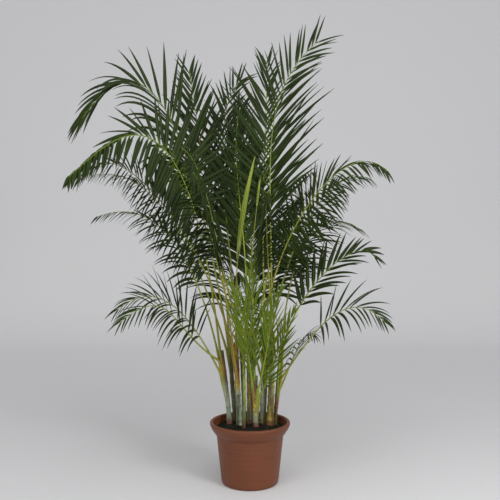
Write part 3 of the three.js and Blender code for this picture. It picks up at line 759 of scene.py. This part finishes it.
def make_frond(name, plan, blade_material, seed):
    dice = random.Random(seed)
    free, sheath = frond_spine(plan)
    heads = tangents(free)
    face = Vector(plan["face"]).normalized()
    shape = Shape()
    # each frond's stalk gets a random painted shade between 0.8 and 1.1
    add_stalk(shape, plan, free, sheath, face, dice.uniform(0.8, 1.1), STALK_CELL)
    cells = bake_cells(plan["pairs"] * 2)
    low_angle, tip_angle = plan["spread"]
    mood = dice.uniform(0.15, 0.55)
    for pair in range(plan["pairs"]):
        up_blade = pair / (plan["pairs"] - 1)
        for hand in (1, -1):
            stagger = dice.uniform(-STAGGER, STAGGER) / plan["pairs"]
            along = plan["bare"] + (BLADE_END - plan["bare"]) * min(1, max(0, up_blade + stagger))
            spot = along * (len(free) - 1)
            low = min(int(spot), len(free) - 2)
            root = free[low].lerp(free[low + 1], spot - low)
            head = heads[low].lerp(heads[low + 1], spot - low).normalized()
            side = head.cross(face).normalized() * hand
            up = square_to(face, head)
            upper_row = side.z > 0
            angle = math.radians(low_angle + (tip_angle - low_angle) * up_blade + dice.gauss(0, 3))
            lift = math.radians(plan["lift"] * (1 if upper_row else LOWER_ROW_LIFT) + dice.gauss(0, 5))
            outward = side * math.cos(lift) + up * math.sin(lift)
            aim = (head * math.cos(angle) + outward * math.sin(angle)).normalized()
            length = leaflet_length(plan, up_blade) * dice.uniform(0.9, 1.06)
            width = plan["width"] * MM * dice.uniform(0.85, 1.1) * (1 - 0.35 * up_blade)
            tint = min(1, max(0, mood + dice.gauss(0, 0.25)))
            share = plan["upper"] + (1 - plan["upper"]) * up_blade ** 2 if upper_row else 1
            droop = plan["droop"] * share * dice.uniform(0.85, 1.15)
            add_leaflet(shape, plan, root, head, aim, up, length, width, droop, tint, next(cells), dice)
    piece = shape.build(name + "_leaf", [blade_material, STALK])
    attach(piece, BODY)
    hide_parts(name)
    return piece


def make_spear(name, plan, seed):
    """A folded leaf: long blades wound round a stiff core, with a pale edge and split ends."""
    dice = random.Random(seed)
    plan = dict(plan, face=(0.4, -1, 0.1), warm=0.9)
    free, sheath = frond_spine(plan)
    heads = tangents(free)
    shape = Shape()
    face = Vector(plan["face"]).normalized()
    # the spear's stalk gets a fixed painted shade of 0.9
    add_stalk(shape, plan, free[:plan["bare"] + SPEAR_CORE_STEPS], sheath, face, 0.9, STALK_CELL)
    cells = bake_cells(SPEAR_BLADES)
    for blade in range(SPEAR_BLADES):
        start = plan["bare"] + blade * (len(free) - plan["bare"]) // SPEAR_STARTS
        angle = 2 * math.pi * blade * 2 / SPEAR_BLADES
        lean = Matrix.Rotation(angle, 3, heads[start]) @ heads[start].cross(face).normalized()
        stop = len(free) - 1 - dice.randint(0, 3)
        add_wrapped_blade(shape, free, start, stop, lean, plan["thick"], dice.random(), next(cells))
    piece = shape.build(name + "_leaf", [FOLDED, STALK])
    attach(piece, BODY)
    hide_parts(name)
    return piece


def add_wrapped_blade(shape, free, start, stop, lean, thick, tint, cell):
    """A leaflet still folded against the spear, which follows the spear's line to its own end."""
    heads = tangents(free)
    first = len(shape.points)
    for ring in range(SPEAR_BLADE_STEPS + 1):
        s = ring / SPEAR_BLADE_STEPS
        spot = start + (stop - start) * s
        low = min(int(spot), len(free) - 2)
        out = square_to(lean, heads[low])
        side = out.cross(heads[low])
        swell = math.sin(math.pi * min(1, 0.12 + 0.88 * s)) ** 0.7
        bulge = 0.45 * thick * swell + 3 * s ** 6
        middle = free[low].lerp(free[low + 1], spot - low) + out * bulge * MM
        half = thick * 0.62 * MM * max(0.05, swell)
        wrap = out * half * 0.45
        shape.add_point(middle - side * half - wrap, s, -1, tint)
        shape.add_point(middle + out * 0.5 * MM, s, 0, tint)
        shape.add_point(middle + side * half - wrap, s, 1, tint)
        shape.add_point(middle - out * 0.5 * MM, s, 0, tint)
    shape.add_tube((4, SPEAR_BLADE_STEPS + 1), cell, 0, first)
    shape.creases.append((first, len(shape.points), 4))


# ---------------------------------------------------------------- canes

def zone_at(zones, fraction):
    """The colour and speckle of a cane's zones at a fraction of its height."""
    for (low, colour, dots), (high, next_colour, next_dots) in zip(zones, zones[1:]):
        if fraction <= high:
            share = (fraction - low) / (high - low)
            here = Vector(PALETTE[colour]).lerp(Vector(PALETTE[next_colour]), share)
            return here, dots + (next_dots - dots) * share
    return Vector(PALETTE[zones[-1][1]]), zones[-1][2]


def make_cane(name, plan, seed):
    """A ringed stem, swollen a little under each ring scar, rooted in the soil."""
    dice = random.Random(seed)
    shape = Shape()
    foot = cane_axis(plan, 0)
    top = mm(plan["top"])
    bow = Vector((dice.uniform(-1, 1), dice.uniform(-1, 1), 0)) * CANE_BOW * MM
    height = (top - foot).length
    buried = CANE_BURIED * MM / height
    scars = []
    level = FIRST_SCAR * MM
    while level < height * SCARRED_PART:
        scars.append(level / height)
        level += dice.uniform(*SCAR_GAPS) * MM
    head = (top - foot).normalized()
    side = square_to(Vector((1, 0, 0)), head)
    back = side.cross(head)
    for ring in range(CANE_RINGS + 1):
        fraction = -buried + (1 + buried) * ring / CANE_RINGS
        place = foot + (top - foot) * fraction + bow * math.sin(math.pi * fraction)
        radius = cane_radius(plan, fraction)
        gap = min(abs(fraction - scar) for scar in scars) * height / MM
        scar = math.exp(-(gap / 1.8) ** 2)
        radius *= 1 + 0.10 * math.exp(-(gap / 6) ** 2) + 0.06 * scar
        radius *= 1 + 0.35 * math.exp(-max(0, fraction * height / MM) / 14)
        colour, dots = zone_at(plan["zones"], min(1, max(0, fraction)))
        for turn in range(CANE_SIDES):
            angle = -2 * math.pi * turn / CANE_SIDES
            ridge = 1 + 0.03 * math.sin(3 * angle + fraction * 9 + seed)
            offset = side * math.cos(angle) + back * math.sin(angle)
            shape.add_point(place + offset * radius * ridge, fraction, 0, scar, dots, colour)
    shape.add_tube((CANE_SIDES, CANE_RINGS + 1), (0, 0, 1, 1), 0, 0)
    piece = shape.build(name + "_stem", [CANE])
    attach(piece, BODY)
    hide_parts(name)


# ---------------------------------------------------------------- pot and soil

def arc(centre, radius, start, end, steps):
    for i in range(steps + 1):
        angle = math.radians(start + (end - start) * i / steps)
        yield centre[0] + radius * math.cos(angle), centre[1] + radius * math.sin(angle)


def turned_faces(rings, segments):
    """Faces between rings of points, closed at both ends."""
    faces = []
    for ring in range(rings - 1):
        low = ring * segments
        high = low + segments
        for turn in range(segments):
            nxt = (turn + 1) % segments
            faces.append((low + turn, low + nxt, high + nxt, high + turn))
    last = (rings - 1) * segments
    faces.append(tuple(range(segments - 1, -1, -1)))
    faces.append(tuple(range(last, last + segments)))
    return faces


def turned_piece(name, points, rings, segments, material):
    mesh = bpy.data.meshes.new(name)
    mesh.from_pydata(points, [], turned_faces(rings, segments))
    mesh.materials.append(material)
    mesh.polygons.foreach_set("use_smooth", [True] * len(mesh.polygons))
    piece = bpy.data.objects.new(name, mesh)
    bpy.context.scene.collection.objects.link(piece)
    return piece


def pot_outline():
    """The pot's section as (radius, height): up the outside, over the rim and down the inside."""
    roll = (RIM_RADIUS - MOUTH_RADIUS) / 2
    centre = (MOUTH_RADIUS + roll, POT_HEIGHT - roll)
    outline = list(arc((FOOT_RADIUS - FOOT_ROUNDING, FOOT_ROUNDING), FOOT_ROUNDING, -90, 0, 6))
    for step in range(1, WALL_RINGS + 1):
        height = FOOT_ROUNDING + (NECK_HEIGHT - FOOT_ROUNDING) * step / WALL_RINGS
        outline.append((FOOT_RADIUS + (NECK_RADIUS - FOOT_RADIUS) * height / NECK_HEIGHT, height))
    for step in range(1, FLARE_RINGS):
        rise = step / FLARE_RINGS
        radius = NECK_RADIUS + (RIM_RADIUS - NECK_RADIUS) * (1 - (1 - rise) ** FLARE_CURVE)
        outline.append((radius, NECK_HEIGHT + (centre[1] - NECK_HEIGHT) * rise))
    outline.extend(arc(centre, roll, 0, 180, 14))
    outline.append((MOUTH_RADIUS, LEDGE_HEIGHT))
    outline.append((NECK_RADIUS - WALL, NECK_HEIGHT))
    outline.append((FOOT_RADIUS - WALL + 0.5, FLOOR + 1))
    outline.append((FOOT_RADIUS - WALL - 1, FLOOR))
    return outline


def make_pot():
    """The turned wall, with a floor that has a ring of drain holes."""
    outline = pot_outline()
    points = []
    for radius, height in outline:
        for turn in range(POT_SEGMENTS):
            angle = 2 * math.pi * turn / POT_SEGMENTS
            points.append(mm((radius * math.cos(angle), radius * math.sin(angle), height)))
    pot = turned_piece("pot_shell", points, len(outline), POT_SEGMENTS, POT)
    pot.data.set_sharp_from_angle(angle=math.radians(32))
    cut_drain_holes(pot)
    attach(pot, BODY)
    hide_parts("pot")


def cut_drain_holes(pot):
    for i in range(DRAIN_HOLES):
        angle = 2 * math.pi * (i + 0.5) / DRAIN_HOLES
        spot = (DRAIN_CIRCLE_RADIUS * math.cos(angle), DRAIN_CIRCLE_RADIUS * math.sin(angle), 0)
        bpy.ops.mesh.primitive_cylinder_add(radius=DRAIN_HOLE_RADIUS * MM, depth=4 * FLOOR * MM,
                                            vertices=24, location=mm(spot))
        cutter = bpy.context.object
        cut = pot.modifiers.new("hole", "BOOLEAN")
        cut.operation = "DIFFERENCE"
        cut.object = cutter
        bpy.context.view_layer.objects.active = pot
        bpy.ops.object.modifier_apply(modifier=cut.name)
        bpy.data.objects.remove(cutter)


def make_soil():
    """The root ball: smooth where the pot holds it, rough on top."""
    outline = [(FOOT_RADIUS - WALL - 2, FLOOR + 0.5), (NECK_RADIUS - WALL - 1, NECK_HEIGHT),
               (MOUTH_RADIUS - WALL - 1, SOIL_LEVEL - SOIL_DOME - 2)]
    points = []
    rows = [(radius, height, 0) for radius, height in outline]
    for ring in range(1, SOIL_RINGS):
        radius = (MOUTH_RADIUS - WALL - 1) * (1 - ring / SOIL_RINGS)
        level = SOIL_LEVEL - SOIL_DOME * (radius / MOUTH_RADIUS) ** 2
        rows.append((radius, level, 1))
    for radius, height, rough in rows:
        for turn in range(SOIL_SEGMENTS):
            angle = 2 * math.pi * turn / SOIL_SEGMENTS
            spot = Vector((radius * math.cos(angle), radius * math.sin(angle), height))
            lump = sum(noise.noise(spot * fine) * size for fine, size in SOIL_LUMPS)
            spot.z += rough * lump
            points.append(spot * MM)
    soil = turned_piece("soil_ball", points, len(rows), SOIL_SEGMENTS, SOIL)
    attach(soil, BODY)
    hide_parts("potting_soil")


def make_chips():
    """Bark chips and crumbs strewn over the soil."""
    dice = random.Random(41)
    shape = Shape()
    box = [(x, y, z) for z in (-1, 1) for y in (-1, 1) for x in (-1, 1)]
    sides = [(0, 2, 3, 1), (4, 5, 7, 6), (0, 1, 5, 4), (2, 6, 7, 3), (0, 4, 6, 2), (1, 3, 7, 5)]
    grid = math.ceil(math.sqrt(CHIPS))
    for chip in range(CHIPS):
        reach = (MOUTH_RADIUS - CHIP_MARGIN) * math.sqrt(dice.random())
        angle = dice.uniform(0, 2 * math.pi)
        level = SOIL_LEVEL - SOIL_DOME * (reach / MOUTH_RADIUS) ** 2 + dice.uniform(0, 2.5)
        centre = Vector((reach * math.cos(angle), reach * math.sin(angle), level))
        size = Vector((dice.uniform(2, 7), dice.uniform(1.5, 4), dice.uniform(0.8, 2)))
        spin = Matrix.Rotation(dice.uniform(0, math.pi), 3, "Z")
        turn = spin @ Matrix.Rotation(dice.gauss(0, 0.4), 3, "X")
        first = len(shape.points)
        tint = dice.random()
        for corner in box:
            jitter = Vector((dice.uniform(0.6, 1), dice.uniform(0.6, 1), dice.uniform(0.6, 1)))
            spot = Vector([c * s * j for c, s, j in zip(corner, size, jitter)])
            shape.add_point((centre + turn @ spot) * MM, 0, 0, tint)
        row, column = divmod(chip, grid)
        square = ((0.1, 0.1), (0.9, 0.1), (0.9, 0.9), (0.1, 0.9))
        cell = [((column + u) / grid, (row + v) / grid) for u, v in square]
        for side in sides:
            shape.add_face(tuple(first + i for i in side), cell, 0)
    piece = shape.build("bark_chips", [BARK])
    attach(piece, BODY)


# ---------------------------------------------------------------- stage, camera and light

STAGE_WIDE = 30.0  # metres, as all of the stage, either side of the middle
STAGE_FRONT = -30.0
STAGE_HIGH = 30.0
BEND_START = 3.4  # far enough back to leave the plant clear in a view from behind
BEND_RADIUS = 1.2
BEND_STEPS = 16
FLOOR_DROP = 0.0005  # below the pot's base
# Painted light: the stage paper's colour is blended towards a paler copy with distance from this centre.
PAINTED_LIGHT_CENTRE = (0.3, 0, 0)
PAINTED_LIGHT_START = 1.0  # from the centre, where the painted light gradient starts to make the paper paler
PAINTED_LIGHT_END = 5.0
PAINTED_LIGHT_FACTOR = 1.22


def paper_material(name, colour, roughness):
    """Matt paper with painted light: its colour grows paler away from the middle of the set."""
    n = Nodes(name)
    reach = n.add("ShaderNodeVectorMath", operation="DISTANCE")
    n.link(n.place(), reach.inputs[0])
    reach.inputs[1].default_value = PAINTED_LIGHT_CENTRE
    edge = tuple(c * PAINTED_LIGHT_FACTOR for c in colour)
    # painted light gradient: the paper is painted paler further from the middle
    share = n.ramp(reach.outputs["Value"], PAINTED_LIGHT_START, PAINTED_LIGHT_END)
    return n.finish(n.surface(n.mix(share, colour, edge), roughness, None, 0.2))


def make_stage():
    """A floor that sweeps up into the wall behind."""
    profile = [(STAGE_FRONT, 0.0), (BEND_START, 0.0)]
    for step in range(1, BEND_STEPS + 1):
        angle = math.pi / 2 * step / BEND_STEPS
        back = BEND_START + BEND_RADIUS * math.sin(angle)
        profile.append((back, BEND_RADIUS * (1 - math.cos(angle))))
    profile.append((BEND_START + BEND_RADIUS, STAGE_HIGH))
    points = [(x, y, z - FLOOR_DROP) for y, z in profile for x in (-STAGE_WIDE, STAGE_WIDE)]
    faces = [(2 * i, 2 * i + 1, 2 * i + 3, 2 * i + 2) for i in range(len(profile) - 1)]
    mesh = bpy.data.meshes.new("studio_sweep")
    mesh.from_pydata(points, [], faces)
    mesh.materials.append(paper_material("studio_paper", (0.70, 0.70, 0.71), 0.85))
    mesh.polygons.foreach_set("use_smooth", [True] * len(mesh.polygons))
    sweep = bpy.data.objects.new("studio_sweep", mesh)
    bpy.context.scene.collection.objects.link(sweep)


def aim_at(thing, target):
    thing.rotation_euler = (Vector(target) - thing.location).to_track_quat("-Z", "Y").to_euler()


def add_light(name, place, target, size, power, colour=(1, 1, 1)):
    light = bpy.data.lights.new(name, "AREA")
    light.shape = "RECTANGLE"
    light.size, light.size_y = size
    light.energy = power
    light.color = colour
    lamp = bpy.data.objects.new(name, light)
    lamp.location = place
    lamp.visible_camera = False
    bpy.context.scene.collection.objects.link(lamp)
    aim_at(lamp, target)


def make_camera():
    camera = bpy.data.cameras.new("camera")
    camera.lens = 48.0
    camera.sensor_width = 36.0
    camera.clip_end = 50
    view = bpy.data.objects.new("camera", camera)
    view.location = (0.0, -2.573, 0.911)
    aim_at(view, (0.0, 0.0, 0.8945))
    bpy.context.scene.collection.objects.link(view)
    bpy.context.scene.camera = view


def make_lights():
    world = bpy.data.worlds.new("studio")
    world.use_nodes = True
    world.node_tree.nodes["Background"].inputs["Color"].default_value = (1.0, 1.0, 1.0, 1)
    world.node_tree.nodes["Background"].inputs["Strength"].default_value = 0.58
    bpy.context.scene.world = world
    add_light("top_box", (0.1, -1.3, 2.6), (0, -0.2, 0.1), (1.6, 1.2), 14)
    add_light("right_box", (1.9, -2.1, 1.5), (0.1, 0.2, 0.5), (0.9, 1.0), 36)
    add_light("left_box", (-2.0, -2.2, 1.2), (0, 0.1, 0.2), (1.4, 1.6), 17)
    bpy.context.scene.view_settings.view_transform = "Standard"


# ---------------------------------------------------------------- the whole thing

make_camera()
make_lights()
make_stage()
make_pot()
make_soil()
make_chips()

for number, (name, plan) in enumerate(CANES.items()):
    make_cane(name, plan, number)

for number, (name, plan) in enumerate(FRONDS.items()):
    make_frond(name, {**FROND_DEFAULTS, **plan}, LEAF, 100 + number)

for number, (name, plan) in enumerate(YOUNG_LEAVES.items()):
    make_frond(name, {**YOUNG_DEFAULTS, **plan}, YOUNG, 200 + number)

for number, (name, plan) in enumerate(SPEARS.items()):
    make_spear(name, plan, 300 + number)
